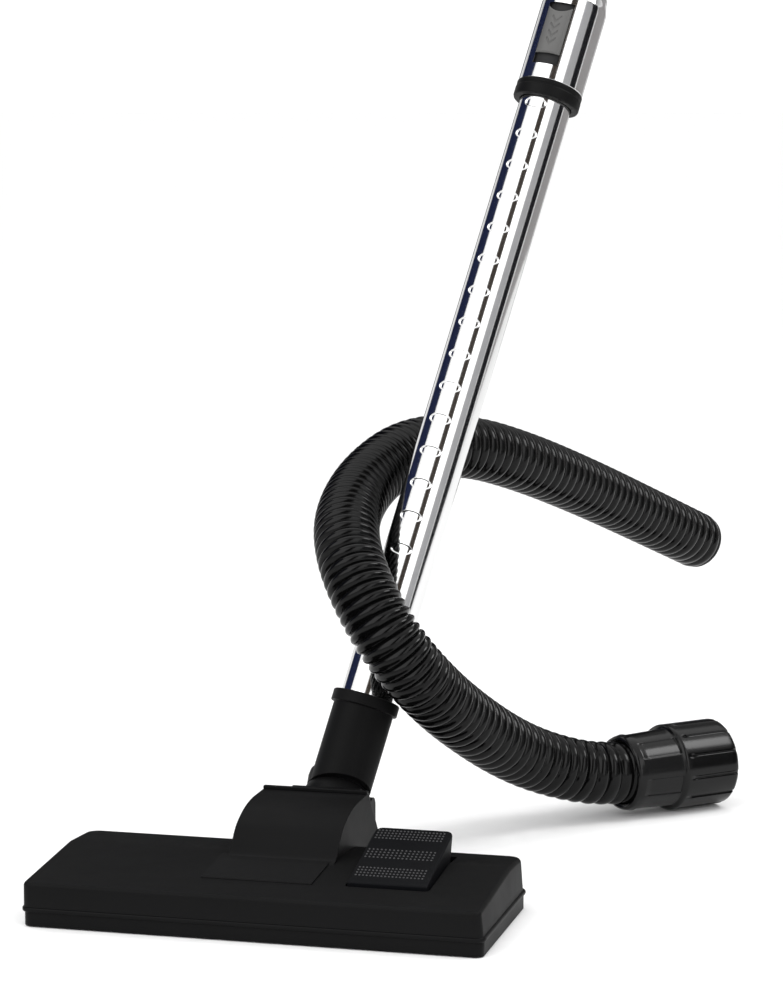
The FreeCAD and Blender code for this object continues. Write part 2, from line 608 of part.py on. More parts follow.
def make_hose():
    path, radii = rounded_path(HOSE_ROUTE)
    outer = swept(path, float(dim.hose_radius))
    inner = swept(path, float(dim.hose_bore))
    tube = outer.cut(inner)
    section = math.pi * (float(dim.hose_radius) ** 2 - float(dim.hose_bore) ** 2)
    print("hose length", round(path.Length, 1), "volume ratio", round(tube.Volume / (section * path.Length), 4))
    print("hose radii", [round(r) for r in radii])
    centres = path.discretize(400)
    heights = [(p - ball_centre).dot(wand_axis) for p in centres]
    gaps = [(p - ball_centre - wand_axis * t).Length for p, t in zip(centres, heights) if t > 135]
    print("least distance of the hose from the wand's axis", round(min(gaps), 2))
    solid_node("hose_tube", tube)

    start = Vector(*HOSE_ROUTE[0])
    inward = (Vector(*HOSE_ROUTE[1]) - start).normalize()
    mouth_frame = FreeCAD.Placement(start, FreeCAD.Rotation(Vector(0, 0, 1), inward))
    bush = turned([(dim.bush_bore, -2), (dim.hose_radius - 1, -2), (dim.hose_radius - 1, -0.2),
                   (dim.hose_bore, -0.2), (dim.hose_bore, dim.bush_length), (dim.bush_bore, dim.bush_length)])
    node("hose_end_bush", bush, mouth_frame)

    last = Vector(*HOSE_ROUTE[-1])
    entry = last - CUFF_HEADING * float(dim.cuff_overlap)
    entry = Vector(entry.x, entry.y, float(dim.cuff_rim_radius))
    cuff_frame = FreeCAD.Placement(entry, FreeCAD.Rotation(Vector(0, 0, 1), CUFF_HEADING))
    snug = dim.hose_radius
    cuff = turned([(snug, -2), (dim.cuff_radius - 2.5, -2), (dim.cuff_radius - 1, 2),
                   (dim.cuff_radius, dim.cuff_step), (dim.cuff_rim_radius, dim.cuff_step + 1.5),
                   (dim.cuff_rim_radius, dim.cuff_length - 2), (dim.cuff_rim_radius - 1.5, dim.cuff_length),
                   (dim.cuff_bore, dim.cuff_length), (dim.cuff_bore, dim.cuff_overlap + 8),
                   (snug, dim.cuff_overlap + 6)])
    node("hose_cuff", cuff, cuff_frame)
    insert = turned([(dim.hose_bore - 2, dim.cuff_overlap - 20), (dim.hose_bore, dim.cuff_overlap - 20),
                     (dim.hose_bore, dim.cuff_overlap + 0.2), (dim.hose_radius - 0.1, dim.cuff_overlap + 0.2),
                     (dim.hose_radius - 0.1, dim.cuff_overlap + 5), (dim.hose_bore - 2, dim.cuff_overlap + 5)])
    node("cuff_insert", insert, cuff_frame)


for make in (make_upper_shell, make_lower_parts, make_air_path, make_pedal, make_brush, make_tail,
             make_ball, make_neck, make_inner_tube, make_outer_tube, make_button, make_hose):
    make()
doc.recompute()


# ---------------------------------------------------------------- checks and export
faults = [f"{thing.Name} {thing.State}" for thing in doc.Objects
          if "Invalid" in thing.State or "Error" in thing.State]
for label, thing in nodes.items():
    shape = thing.Shape
    if shape.isNull() or not shape.isValid() or not shape.Solids:
        faults.append(f"{label} has no valid solid")
if faults:
    raise SystemExit("\n".join(faults))
for label, thing in nodes.items():
    thing.Shape.exportStep(f"parts/{label}.step")
    print(f"{label:20s} {len(thing.Shape.Solids)} solids {thing.Shape.Volume / 1000:8.2f} cm3")
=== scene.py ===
"""Looks for the floor head, telescopic wand and suction hose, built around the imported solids."""

import math
import random

import bmesh
import bpy
import numpy as np
from mathutils import Matrix, Vector


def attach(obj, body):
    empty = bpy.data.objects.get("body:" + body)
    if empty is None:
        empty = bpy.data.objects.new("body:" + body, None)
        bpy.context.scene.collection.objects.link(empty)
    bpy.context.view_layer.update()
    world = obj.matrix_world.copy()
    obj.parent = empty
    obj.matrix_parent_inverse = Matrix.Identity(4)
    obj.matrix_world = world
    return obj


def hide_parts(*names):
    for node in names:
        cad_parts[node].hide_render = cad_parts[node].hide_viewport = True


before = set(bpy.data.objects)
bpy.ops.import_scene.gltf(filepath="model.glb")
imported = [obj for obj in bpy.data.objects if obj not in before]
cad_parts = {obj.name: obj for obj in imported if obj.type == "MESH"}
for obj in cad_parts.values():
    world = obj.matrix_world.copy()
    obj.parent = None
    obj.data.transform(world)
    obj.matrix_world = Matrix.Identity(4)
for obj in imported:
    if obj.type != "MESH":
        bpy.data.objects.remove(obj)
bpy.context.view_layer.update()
MM = 0.001
rng = random.Random(7)

# ---------------------------------------------------------------- camera
CAMERA_AT = (478.7, -1605.9, 453.4)
CAMERA_PITCH, CAMERA_HEADING = 7.53, 14.43
camera_data = bpy.data.cameras.new("camera")
camera_data.lens = 112.0
camera_data.sensor_width = 36
camera_data.clip_end = 60
camera = bpy.data.objects.new("camera", camera_data)
camera.location = Vector(CAMERA_AT) * MM
camera.rotation_euler = (math.radians(90 - CAMERA_PITCH), 0, math.radians(CAMERA_HEADING))
bpy.context.scene.collection.objects.link(camera)
bpy.context.scene.camera = camera


# ---------------------------------------------------------------- frames, all in millimetres
def leaning(back, side):
    back, side = math.radians(back), math.radians(side)
    return Vector((math.sin(side), math.sin(back) * math.cos(side), math.cos(back) * math.cos(side)))


def frame_of(origin, x, z):
    """Matrix whose local Z runs along z and whose local X lies nearest to x."""
    z = Vector(z).normalized()
    x = Vector(x)
    x = (x - z * x.dot(z)).normalized()
    y = z.cross(x)
    turn = Matrix((x, y, z)).transposed().to_4x4()
    return Matrix.Translation(Vector(origin)) @ turn


BALL = Vector((0, 120, 35.5))
WAND = leaning(21.45, 11.7)
SWIVEL = leaning(40, 0)
NOTCH_HEADING = math.radians(-12)
wand_frame = frame_of(BALL, (math.sin(NOTCH_HEADING), -math.cos(NOTCH_HEADING), 0), WAND)
swivel_frame = frame_of(BALL, (1, 0, 0), SWIVEL)
along_x = Matrix(((0, 0, 1, 0), (1, 0, 0, 0), (0, 1, 0, 0), (0, 0, 0, 1)))


# ---------------------------------------------------------------- materials
def shader_of(name):
    material = bpy.data.materials.new(name)
    material.use_nodes = True
    tree = material.node_tree
    return material, tree, tree.nodes["Principled BSDF"]


def node_in(tree, kind, **inputs):
    node = tree.nodes.new(kind)
    for key, value in inputs.items():
        node.inputs[key.replace("_", " ")].default_value = value
    return node


def object_coords(tree, stretch=(1, 1, 1)):
    coords = tree.nodes.new("ShaderNodeTexCoord")
    mapping = tree.nodes.new("ShaderNodeMapping")
    mapping.inputs["Scale"].default_value = stretch
    tree.links.new(coords.outputs["Object"], mapping.inputs["Vector"])
    return mapping.outputs["Vector"]


def noise_of(tree, vector, scale, detail=3.0, rough=0.55):
    node = node_in(tree, "ShaderNodeTexNoise", Scale=scale, Detail=detail, Roughness=rough)
    tree.links.new(vector, node.inputs["Vector"])
    return node.outputs["Fac"]


def ramp_of(tree, fac, low, high, start=0.3, end=0.7):
    ramp = tree.nodes.new("ShaderNodeValToRGB")
    ramp.color_ramp.elements[0].position = start
    ramp.color_ramp.elements[1].position = end
    ramp.color_ramp.elements[0].color = low
    ramp.color_ramp.elements[1].color = high
    tree.links.new(fac, ramp.inputs["Fac"])
    return ramp.outputs["Color"]


def range_of(tree, fac, low, high):
    node = tree.nodes.new("ShaderNodeMapRange")
    node.inputs["To Min"].default_value = low
    node.inputs["To Max"].default_value = high
    tree.links.new(fac, node.inputs["Value"])
    return node.outputs["Result"]


def bump_of(tree, shader, height, strength, distance, after=None):
    bump = node_in(tree, "ShaderNodeBump", Strength=strength, Distance=distance)
    tree.links.new(height, bump.inputs["Height"])
    if after is not None:
        tree.links.new(after, bump.inputs["Normal"])
    tree.links.new(bump.outputs["Normal"], shader.inputs["Normal"])
    return bump.outputs["Normal"]


def grey(value, tint=(1, 1, 1)):
    return (value * tint[0], value * tint[1], value * tint[2], 1)


def moulded(name, base, rough, specular=0.3, grain=900, bump=0.25, edge_wear_and_highlight=1.6, tint=(1, 1, 1.04)):
    """Moulded plastic: a fine spark-eroded grain, uneven gloss, and edges painted slightly paler, partly as
    rubbed wear and partly as a painted highlight.
    """
    material, tree, shader = shader_of(name)
    coords = object_coords(tree)
    patches = noise_of(tree, coords, 14)
    colour = ramp_of(tree, patches, grey(base * 0.85, tint), grey(base * 1.15, tint))
    # Edges picked out by pointiness are painted paler: partly rubbed wear, partly a painted highlight along
    # the edges.
    edges = tree.nodes.new("ShaderNodeNewGeometry").outputs["Pointiness"]
    edge_wear_and_highlight_mix = tree.nodes.new("ShaderNodeMix")
    edge_wear_and_highlight_mix.data_type = "RGBA"
    edge_wear_and_highlight_mask = ramp_of(tree, edges, grey(0), grey(1), 0.52, 0.6)
    tree.links.new(range_of(tree, edge_wear_and_highlight_mask, 0, 1), edge_wear_and_highlight_mix.inputs["Factor"])
    tree.links.new(colour, edge_wear_and_highlight_mix.inputs["A"])
    edge_wear_and_highlight_mix.inputs["B"].default_value = grey(base * edge_wear_and_highlight, tint)
    tree.links.new(edge_wear_and_highlight_mix.outputs["Result"], shader.inputs["Base Color"])
    tree.links.new(range_of(tree, noise_of(tree, coords, 40), rough * 0.88, min(1, rough * 1.12)),
                   shader.inputs["Roughness"])
    bump_of(tree, shader, noise_of(tree, coords, grain, 2.0), bump, 0.00012)
    shader.inputs["Specular IOR Level"].default_value = specular
    return material


def polished(name, base, rough, smear=0.03):
    """Plated steel: near-mirror, with faint drawing lines along the tube and soft smears."""
    material, tree, shader = shader_of(name)
    coords = object_coords(tree)
    smears = noise_of(tree, coords, 22)
    tree.links.new(ramp_of(tree, smears, grey(base * 0.96), grey(base)), shader.inputs["Base Color"])
    tree.links.new(range_of(tree, smears, rough, rough + smear), shader.inputs["Roughness"])
    lines = noise_of(tree, object_coords(tree, (600, 600, 6)), 1.0, 2.0)
    bump_of(tree, shader, lines, 0.03, 0.00004)
    shader.inputs["Metallic"].default_value = 1.0
    return material


def brushed(name, base, rough, stretch=(4, 900, 900)):
    material, tree, shader = shader_of(name)
    lines = noise_of(tree, object_coords(tree, stretch), 1.0, 3.0)
    tree.links.new(ramp_of(tree, lines, grey(base * 0.8), grey(base)), shader.inputs["Base Color"])
    tree.links.new(range_of(tree, lines, rough * 0.8, rough * 1.2), shader.inputs["Roughness"])
    bump_of(tree, shader, lines, 0.15, 0.00005)
    shader.inputs["Metallic"].default_value = 1.0
    return material


def fibres(name, base, tint, stretch=(900, 900, 60)):
    material, tree, shader = shader_of(name)
    strands = noise_of(tree, object_coords(tree, stretch), 1.0, 3.0)
    tree.links.new(ramp_of(tree, strands, grey(base * 0.5, tint), grey(base * 1.4, tint)),
                   shader.inputs["Base Color"])
    shader.inputs["Roughness"].default_value = 0.85
    shader.inputs["Sheen Weight"].default_value = 0.3
    bump_of(tree, shader, strands, 0.5, 0.0002)
    return material


black_shell = moulded("black_shell", 0.0036, 0.52, specular=0.065)
black_satin = moulded("black_satin", 0.0038, 0.46, specular=0.07, grain=700, bump=0.15)
pedal_black = moulded("pedal_black", 0.003, 0.5, specular=0.05, grain=700, bump=0.1, tint=(0.9, 0.95, 1.15))
dot_grey = moulded("dot_grey", 0.03, 0.5, specular=0.2)
dark_grey = moulded("dark_grey", 0.014, 0.45, specular=0.15)
button_grey = moulded("button_grey", 0.085, 0.36, specular=0.3, bump=0.1, tint=(1, 0.99, 0.97))
rubber_strip = moulded("rubber_strip", 0.0035, 0.5, specular=0.06, grain=500)
wheel_rubber = moulded("wheel_rubber", 0.008, 0.6, specular=0.12, grain=400, bump=0.4)
white_plastic = moulded("white_plastic", 0.55, 0.4, specular=0.4, edge_wear_and_highlight=1.05)
hose_black = moulded("hose_black", 0.0018, 0.15, specular=0.16, grain=300, bump=0.04)
cuff_black = moulded("cuff_black", 0.0026, 0.18, specular=0.22, grain=500, bump=0.05)
chrome = polished("chrome_tube", 0.7, 0.085)
steel = brushed("steel_sole", 0.3, 0.34)
spring_steel = brushed("spring_steel", 0.42, 0.28, (60, 60, 60))
bristle = fibres("bristle", 0.02, (1, 1, 1))
velvet = fibres("velvet", 0.12, (1, 0.06, 0.08), (500, 500, 500))


# ---------------------------------------------------------------- mesh helpers, lengths in millimetres
def finish_normals(mesh, sharp):
    """Smooth shading, broken only at edges steeper than the given angle."""
    bm = bmesh.new()
    bm.from_mesh(mesh)
    bmesh.ops.recalc_face_normals(bm, faces=bm.faces)
    for face in bm.faces:
        face.smooth = True
    for edge in bm.edges:
        edge.smooth = len(edge.link_faces) == 2 and edge.calc_face_angle(0) < math.radians(sharp)
    bm.to_mesh(mesh)
    bm.free()


def mesh_object(name, verts, faces, matrix=None):
    mesh = bpy.data.meshes.new(name)
    if matrix is not None:
        verts = [matrix @ Vector(v) for v in verts]
    mesh.from_pydata([tuple(c * MM for c in v) for v in verts], [], faces)
    thing = bpy.data.objects.new(name, mesh)
    bpy.context.scene.collection.objects.link(thing)
    return thing


def baked(thing):
    """Applies the object's modifiers to its mesh."""
    bpy.context.view_layer.update()
    graph = bpy.context.evaluated_depsgraph_get()
    mesh = bpy.data.meshes.new_from_object(thing.evaluated_get(graph))
    thing.modifiers.clear()
    old, thing.data = thing.data, mesh
    bpy.data.meshes.remove(old)
    return thing


def weighted(thing):
    modifier = thing.modifiers.new("normals", "WEIGHTED_NORMAL")
    modifier.keep_sharp = True
    modifier.weight = 100
    return baked(thing)


def piece(thing, body, material, slot, *stands_for, sharp=32):
    """Gives a finished mesh its shading, material and body, and hides the solids it stands for."""
    finish_normals(thing.data, sharp)
    weighted(thing)
    thing.data.materials.clear()
    thing.data.materials.append(material)
    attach(thing, body)
    if stands_for:
        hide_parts(*stands_for)
    return thing


def grid_faces(rows, columns, wrap_rows=False, wrap_columns=False):
    faces = []
    for i in range(rows if wrap_rows else rows - 1):
        for j in range(columns if wrap_columns else columns - 1):
            a, b = i * columns + j, i * columns + (j + 1) % columns
            c, d = ((i + 1) % rows) * columns + (j + 1) % columns, ((i + 1) % rows) * columns + j
            faces.append((a, b, c, d))
    return faces


def lathe(name, profile, matrix, segments=96, shape=None):
    """A closed (radius, height) profile turned about local Z. shape may change a point's radius."""
    verts = []
    for radius, height in profile:
        for j in range(segments):
            turn = 2 * math.pi * j / segments
            r = shape(radius, height, turn) if shape else radius
            verts.append((r * math.cos(turn), r * math.sin(turn), height))
    return mesh_object(name, verts, grid_faces(len(profile), segments, True, True), matrix)


def rounded(profile, radius, steps=4):
    """Rounds the corners of a closed outline; radius is one length or one for each corner."""
    count = len(profile)
    radii = radius if isinstance(radius, (list, tuple)) else [radius] * count
    points = []
    for i in range(count):
        here = Vector(profile[i])
        back, ahead = Vector(profile[i - 1]) - here, Vector(profile[(i + 1) % count]) - here
        turn = back.angle(ahead)
        if radii[i] <= 0 or turn > math.radians(176):
            points.append(tuple(here))
            continue
        reach = min(radii[i] / math.tan(turn / 2), back.length * 0.49, ahead.length * 0.49)
        first, last = here + back.normalized() * reach, here + ahead.normalized() * reach
        for k in range(steps + 1):
            t = k / steps
            points.append(tuple(first.lerp(here, t).lerp(here.lerp(last, t), t)))
    return points


def prism(name, outline, x0, x1):
    """A (y, z) outline extruded from x0 to x1."""
    count = len(outline)
    verts = [(x0, y, z) for y, z in outline] + [(x1, y, z) for y, z in outline]
    faces = [tuple(range(count)), tuple(range(2 * count - 1, count - 1, -1))]
    faces += [(i, i + count, (i + 1) % count + count, (i + 1) % count) for i in range(count)]
    thing = mesh_object(name, verts, faces)
    finish_normals(thing.data, 30)
    return thing


def bevel(thing, width, chosen, segments=3):
    """Rounds the edges for which chosen(a, b) holds; a and b are the edge's ends in millimetres."""
    bm = bmesh.new()
    bm.from_mesh(thing.data)
    edges = [e for e in bm.edges if chosen(e.verts[0].co / MM, e.verts[1].co / MM)]
    bmesh.ops.bevel(bm, geom=edges, offset=width * MM, segments=segments, profile=0.5, affect="EDGES",
                    clamp_overlap=True)
    bm.to_mesh(thing.data)
    bm.free()
    return thing


def combined(base, operation, *others):
    for other in others:
        modifier = base.modifiers.new("join", "BOOLEAN")
        modifier.operation = operation
        modifier.solver = "EXACT"
        modifier.object = other
        baked(base)
        bpy.data.objects.remove(other)
    return base


# ---------------------------------------------------------------- hose
HOSE_ROUTE = [
    (145, 560, 136), (117, 502, 161), (89, 428, 189), (62, 355, 214), (37, 300, 230), (10, 259, 232),
    (-6, 217, 217), (-8, 175, 199), (3, 140, 182), (18, 121, 160), (37, 113, 133), (56, 130, 104),
    (70, 175, 76), (86, 222, 51), (106, 253, 36), (131.5, 275.7, 27.2), (152.7, 296.9, 27.2)]
HOSE_RADIUS, HOSE_GROOVE, HOSE_WALL, HOSE_PITCH, HOSE_LENGTH = 19.75, 16.9, 0.4, 5.9, 0.796
HOSE_FITTED_GROOVE, HOSE_FITTED = 17.98, 30
START_SPREAD, START_FADE = 2.5, (250, 380)
END_SPREAD, END_FADE = 2.7, (560, 650)


def smooth_line(route):
    """Points in millimetres along the smooth curve that a route's points control."""
    curve = bpy.data.curves.new("route", "CURVE")
    curve.dimensions = "3D"
    curve.resolution_u = 24
    spline = curve.splines.new("NURBS")
    spline.points.add(len(route) - 1)
    for point, place in zip(spline.points, route):
        point.co = (*[c * MM for c in place], 1)
    spline.order_u = 3
    spline.use_endpoint_u = True
    holder = bpy.data.objects.new("route", curve)
    bpy.context.scene.collection.objects.link(holder)
    bpy.context.view_layer.update()
    mesh = bpy.data.meshes.new_from_object(holder)
    points = np.array([v.co for v in mesh.vertices]) / MM
    bpy.data.objects.remove(holder)
    bpy.data.meshes.remove(mesh)
    return points


def smoothstep(low, high, value):
    t = min(1, max(0, (value - low) / (high - low)))
    return t * t * (3 - 2 * t)


def resampled(points, spacing):
    steps = np.linalg.norm(np.diff(points, axis=0), axis=1)
    keep = np.concatenate([[True], steps > 1e-6])
    points = points[keep]
    reach = np.concatenate([[0], np.cumsum(np.linalg.norm(np.diff(points, axis=0), axis=1))])
    count = int(round(reach[-1] / spacing))
    at = np.linspace(0, reach[-1], count + 1)
    return at, np.stack([np.interp(at, reach, points[:, k]) for k in range(3)], axis=1)


def ring_pitch(reach):
    """The rings sit closest in the bend and further apart towards both ends."""
    at_start = START_SPREAD * (1 - smoothstep(*START_FADE, reach))
    at_end = END_SPREAD * smoothstep(*END_FADE, reach)
    return HOSE_PITCH + at_start + at_end


def make_hose():
    at, line = resampled(smooth_line(HOSE_ROUTE), HOSE_PITCH / 12)
    rings_so_far = np.cumsum([0] + [step / ring_pitch(reach) for step, reach in zip(np.diff(at), at)])
    tangents = np.gradient(line, axis=0)
    side = Vector((0, 0, 1)).cross(Vector(tangents[0])).normalized()
    segments = 64
    rings, inner = [], []
    for i, centre in enumerate(line):
        ahead = Vector(tangents[i]).normalized()
        side = (side - ahead * side.dot(ahead)).normalized()
        up = ahead.cross(side)
        phase = rings_so_far[i] % 1
        crest = abs(math.sin(math.pi * phase)) ** 0.62
        end = min(at[i], at[-1] - at[i])
        free = smoothstep(HOSE_FITTED, HOSE_FITTED + 8, end)
        groove = HOSE_FITTED_GROOVE + (HOSE_GROOVE - HOSE_FITTED_GROOVE) * free
        radius = groove + (HOSE_RADIUS - groove) * crest
        for wall, store in ((0, rings), (HOSE_WALL, inner)):
            for j in range(segments):
                turn = 2 * math.pi * j / segments
                spoke = side * math.cos(turn) + up * math.sin(turn)
                store.append(tuple(Vector(centre) + spoke * (radius - wall)))
    rows = len(line)
    verts = rings + [inner[i * segments + j] for i in range(rows - 1, -1, -1) for j in range(segments)]
    thing = mesh_object("hose_corrugated", verts, grid_faces(2 * rows, segments, True, True))
    piece(thing, "neck", hose_black, "hose_black", "hose_tube", sharp=60)
    return thing, line


hose, hose_line = make_hose()


# ---------------------------------------------------------------- hose cuff
CUFF_AXIS = Vector((1, 1, 0)).normalized()
cuff_entry = Vector((152.7, 296.9, 27.2)) - CUFF_AXIS * 16
cuff_frame = frame_of(cuff_entry, (0, 0, 1), CUFF_AXIS)


def make_cuff():
    heights = [(19.9, -1.2), (21.6, -2.0), (22.8, -1.4), (23.4, 0.2), (23.7, 2.2)]
    heights += [(24.0 + 1.0 * t, 3 + 27.4 * t) for t in np.linspace(0, 1, 12)]
    heights += [(25.2, 30.9), (25.9, 31.5), (26.7, 32.2), (27.05, 33.2)]
    heights += [(27.15, 34 + 35.2 * t) for t in np.linspace(0, 1, 14)]
    heights += [(26.9, 70.6), (26.2, 71.6), (25.2, 72.0), (23.2, 72.0), (22.3, 71.4), (22.05, 70.2),
                (22.0, 28), (19.9, 24)]

    def shape(radius, height, turn):
        if 34.5 < height < 71.9 and radius > 25:
            spacing = math.radians(30)
            offset = (turn + spacing / 3) % spacing - spacing / 2
            groove = 1 - smoothstep(0.028, 0.052, abs(offset))
            return radius - 1.25 * groove * smoothstep(36, 38.5, height)
        if 3 < height < 30.8 and radius > 23:
            spacing = math.radians(60)
            offset = (turn + spacing / 4) % spacing - spacing / 2
            panel = smoothstep(-0.30, -0.275, offset) - smoothstep(0.275, 0.30, offset)
            return radius - 0.75 + 0.75 * panel * smoothstep(3.5, 5.5, height)
        return radius

    thing = lathe("hose_cuff_ribbed", heights, cuff_frame, 360, shape)
    return piece(thing, "neck", cuff_black, "black_satin", "hose_cuff", sharp=50)


cuff = make_cuff()


# ---------------------------------------------------------------- floor head
def deck_outline(inset, bottom):
    half = 55 - inset
    return [(-half, bottom), (-half, 24.5 - inset), (20, 30.5 - inset), (half, 28.7 - inset), (half, bottom)]


def hump_line():
    """The hump's profile from its foot on the deck to its rear edge, as a smooth curve."""
    knots = [(3, 28.6), (9, 30.3), (14, 33.4), (19, 39.2), (24, 43.8), (30, 46.8), (38, 49.8), (47, 51.8),
             (56, 52.8), (66, 53), (79, 53)]
    points = smooth_line([(0, y, z) for y, z in knots])
    return [(p[1], p[2]) for p in points[::6]] + [(79, 53)]


def hump_outline(inset, bottom):
    line = hump_line()
    if inset:
        line = [(y + inset * 0.8, z - inset) for y, z in line if y < 60] + [(82 + inset, 53 - inset)]
    rear = inset * 3
    low = [(103 + rear, 23.5), (110 + rear, 14), (110 + rear, bottom), (40, bottom), (40, 26 - inset)]
    return line + low + [(line[0][0], 25 - inset)]


def make_shell():
    deck = prism("head_shell", deck_outline(0, 11), -128.8, 128.8)
    for vertex in deck.data.vertices:
        if vertex.co.z > 0.02 and vertex.co.x > 0:
            vertex.co.x *= 127.4 / 128.8
    bevel(deck, 4.5, lambda a, b: abs(a.z - b.z) > 8 and abs(a.x) > 120 and a.y < 0, 5)
    bevel(deck, 8.0, lambda a, b: abs(a.z - b.z) > 8 and abs(a.x) > 110 and a.y > 50, 6)
    bevel(deck, 2.2, lambda a, b: a.z > 20 and b.z > 20 and not (abs(a.y - 20) < 0.5 and abs(b.y - 20) < 0.5),
          4)
    hump = prism("hump", hump_outline(0, 11), -31, 31)
    bevel(hump, 1.1, lambda a, b: abs(a.x - b.x) < 0.1 and min(a.z, b.z) > 31 and max(a.y, b.y) < 79.5, 3)
    pad_outline = [(-28, 26.9), (-27.6, 27.5), (3, 29.9), (10, 30.5), (14, 30.5), (14, 27), (-28, 25)]
    pad = prism("pad", pad_outline, -35, 28)
    bevel(pad, 4, lambda a, b: a.y < -20 and b.y < -20 and abs(a.z - b.z) > 1 and a.x < 0, 3)
    bevel(pad, 16, lambda a, b: a.y < -20 and b.y < -20 and abs(a.z - b.z) > 1 and a.x > 0, 8)
    well = prism("well", [(-27, 12), (41, 12), (41, 50), (-27, 50)], 46, 93)
    bevel(well, 2.5, lambda a, b: abs(a.z - b.z) > 8, 3)
    hollow = prism("hollow", deck_outline(2.2, 5), -126.4, 126.4)
    cavity = prism("cavity", hump_outline(2.2, 5), -28.8, 28.8)
    combined(deck, "UNION", hump, pad)
    combined(deck, "DIFFERENCE", hollow, cavity, well)
    return piece(deck, "head", black_shell, "black_shell", "upper_shell", sharp=28)


make_shell()

PEDAL_LEFT, PEDAL_RIGHT = 47.3, 91.7
PEDAL_FRONT, PEDAL_REAR = (-25.5, 29.0), (38.0, 44.7)


def make_pedal():
    top = [PEDAL_FRONT, PEDAL_REAR]
    outside = prism("pedal_tread", top + [(30.5, 24), (11, 17.5), (1, 17.5), (-25, 25.5)], PEDAL_LEFT,
                    PEDAL_RIGHT)
    bevel(outside, 4.0, lambda a, b: a.y > 29 and b.y > 29 and abs(a.z - b.z) > 12, 5)
    bevel(outside, 1.0, lambda a, b: (a.z > 28.4 and b.z > 28.4), 3)
    inside = prism("inside", [(-21.5, 27), (34.5, 41), (28, 23), (11, 10), (1, 10), (-21.5, 23)],
                   PEDAL_LEFT + 2.2, PEDAL_RIGHT - 2.2)
    combined(outside, "DIFFERENCE", inside)
    piece(outside, "pedal", pedal_black, "black_shell", "pedal_plate", sharp=30)

    front, rear = Vector((0, *PEDAL_FRONT)), Vector((0, *PEDAL_REAR))
    slope = (rear - front).normalized()
    normal = Vector((1, 0, 0)).cross(slope)
    verts, faces = [], []
    sides, rows_of_ring = 8, 2
    for band_start, columns in ((0.065, 19), (0.41, 17), (0.735, 19)):
        for row in range(4):
            along = (rear - front).length * (1 - band_start) - 3.0 * row
            for column in range(columns):
                x = PEDAL_LEFT + 2.6 + (PEDAL_RIGHT - PEDAL_LEFT - 7.2) * column / (columns - 1)
                centre = Vector((x, 0, 0)) + front + slope * along + normal * 0.04
                first = len(verts)
                for ring in range(rows_of_ring):
                    radius, height = ((0.62, 0.0), (0.44, 0.34))[ring]
                    for k in range(sides):
                        turn = 2 * math.pi * k / sides
                        verts.append(centre + Vector((1, 0, 0)) * radius * math.cos(turn)
                                     + slope * radius * math.sin(turn) + normal * height)
                verts.append(centre + normal * 0.46)
                for k in range(sides):
                    a, b = first + k, first + (k + 1) % sides
                    faces.append((a, b, b + sides, a + sides))
                    faces.append((a + sides, b + sides, first + 2 * sides))
                faces.append(tuple(first + k for k in range(sides - 1, -1, -1)))
    dots = mesh_object("pedal_dots", verts, faces)
    return piece(dots, "pedal", dot_grey, "dark_grey", sharp=80)


make_pedal()


# ---------------------------------------------------------------- neck and wand
def make_neck():
    outer = [(14.4, 4), (18.2, 4), (18.2, 59.2), (18.5, 59.5), (20.0, 59.7), (20.2, 60.1), (20.2, 65.9),
             (19.6, 66.5),
             (16.6, 66.5), (16.12, 66.0), (16.1, 38), (14.4, 38)]
    pipe = lathe("neck_elbow", outer, wand_frame, 128)
    skirt = lathe("skirt",
                  [(15.45, 9.86), (17.9, 9.86), (18.35, 10.4), (18.5, 16), (17.9, 19.4), (15.45, 21)],
                  swivel_frame, 128)
    below = lathe("below", [(0.01, -30), (60, -30), (60, 9.85), (0.01, 9.85)], swivel_frame, 64)
    well = lathe("well", [(0.01, 5), (15.45, 5), (15.45, 18.7), (0.01, 18.7)], swivel_frame, 96)
    combined(pipe, "UNION", skirt)
    combined(pipe, "DIFFERENCE", below, well)
    return piece(pipe, "neck", black_shell, "black_shell", "swivel_neck", sharp=32)


make_neck()

TUBE_RADIUS, TUBE_LOW, TUBE_HIGH = 16.0, 38, 560
NOTCH_PITCH, NOTCH_FIRST, NOTCH_RADIUS, NOTCH_DEPTH = 20.53, 443, 3.6, 1.7


def make_inner_tube():
    notches = [NOTCH_FIRST - NOTCH_PITCH * i for i in range(-2, 15)]
    reach = math.degrees(math.asin(7.6 / TUBE_RADIUS))
    turns = list(np.linspace(-reach, reach, 61)) + list(np.linspace(reach, 360 - reach, 72))[1:-1]
    heights = [TUBE_LOW]
    for notch in sorted(notches):
        heights += [notch + z for z in np.linspace(-3.5, 3.5, 27)]
    heights.append(TUBE_HIGH)
    centre = TUBE_RADIUS - NOTCH_DEPTH + NOTCH_RADIUS
    verts = []
    for height in heights:
        nearest = min(abs(height - notch) for notch in notches)
        dent = centre - math.sqrt(NOTCH_RADIUS ** 2 - nearest ** 2) if nearest < NOTCH_RADIUS else 99
        for turn in turns:
            x, y = TUBE_RADIUS * math.cos(math.radians(turn)), TUBE_RADIUS * math.sin(math.radians(turn))
            verts.append((min(x, dent), y, height))
    rows = len(heights)
    for height in (TUBE_HIGH, TUBE_LOW):
        for turn in turns:
            radius = TUBE_RADIUS - 0.6
            x, y = radius * math.cos(math.radians(turn)), radius * math.sin(math.radians(turn))
            verts.append((x, y, height))
    thing = mesh_object("tube_notched", verts, grid_faces(rows + 2, len(turns), True, True), wand_frame)
    return piece(thing, "neck", chrome, "chrome_tube", "inner_tube", sharp=50)


